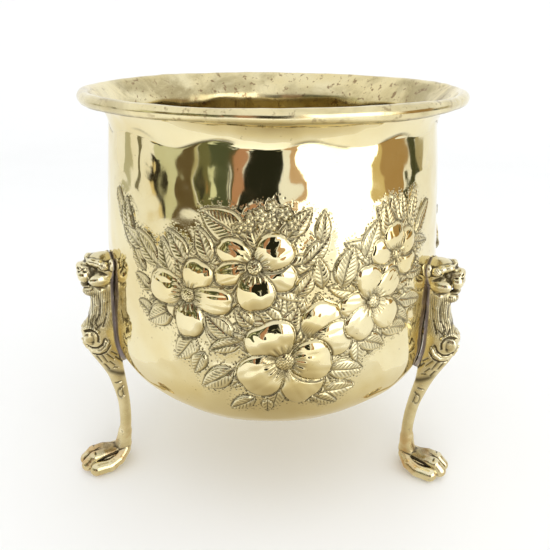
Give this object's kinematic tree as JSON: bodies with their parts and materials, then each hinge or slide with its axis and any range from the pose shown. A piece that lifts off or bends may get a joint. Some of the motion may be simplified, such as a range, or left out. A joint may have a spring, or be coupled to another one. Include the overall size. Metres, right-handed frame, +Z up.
{
  "type": "brass planter pot",
  "caption": "Round brass planter bowl with a flared, wired rim and a chased rose garland, standing on cast lion legs with paw feet.",
  "frame": {"origin": "on the floor at the middle of the footprint's bounding box; the bowl's axis stands at x = 5.69, y = -11.06 mm, because one of the three legs points straight back and the two front paws don't reach out alike", "axes": "+Z up along the bowl's axis, -Y is the front, between two legs; +X to the right seen from the front"},
  "size_m": [0.2793, 0.2818, 0.279],
  "materials": {
    "bowl_brass": "polished sheet brass, hand hammered, light tarnish inside the rim",
    "cast_brass": "cast brass, worn bright on the high parts, brown in the hollows",
    "screw_brass": "dull turned brass",
    "rim_steel": "plain drawn wire, hidden in the rim's curl"
  },
  "bodies": {
    "root": {"bowl_shell": "bowl_brass", "rim_wire": "rim_steel", "leg_front_left": "cast_brass", "screw_front_left_upper": "screw_brass", "washer_front_left_upper": "screw_brass", "screw_front_left_lower": "screw_brass", "washer_front_left_lower": "screw_brass", "leg_front_right": "cast_brass", "screw_front_right_upper": "screw_brass", "washer_front_right_upper": "screw_brass", "screw_front_right_lower": "screw_brass", "washer_front_right_lower": "screw_brass", "leg_back": "cast_brass", "screw_back_upper": "screw_brass", "washer_back_upper": "screw_brass", "screw_back_lower": "screw_brass", "washer_back_lower": "screw_brass"}
  },
  "joints": []
}
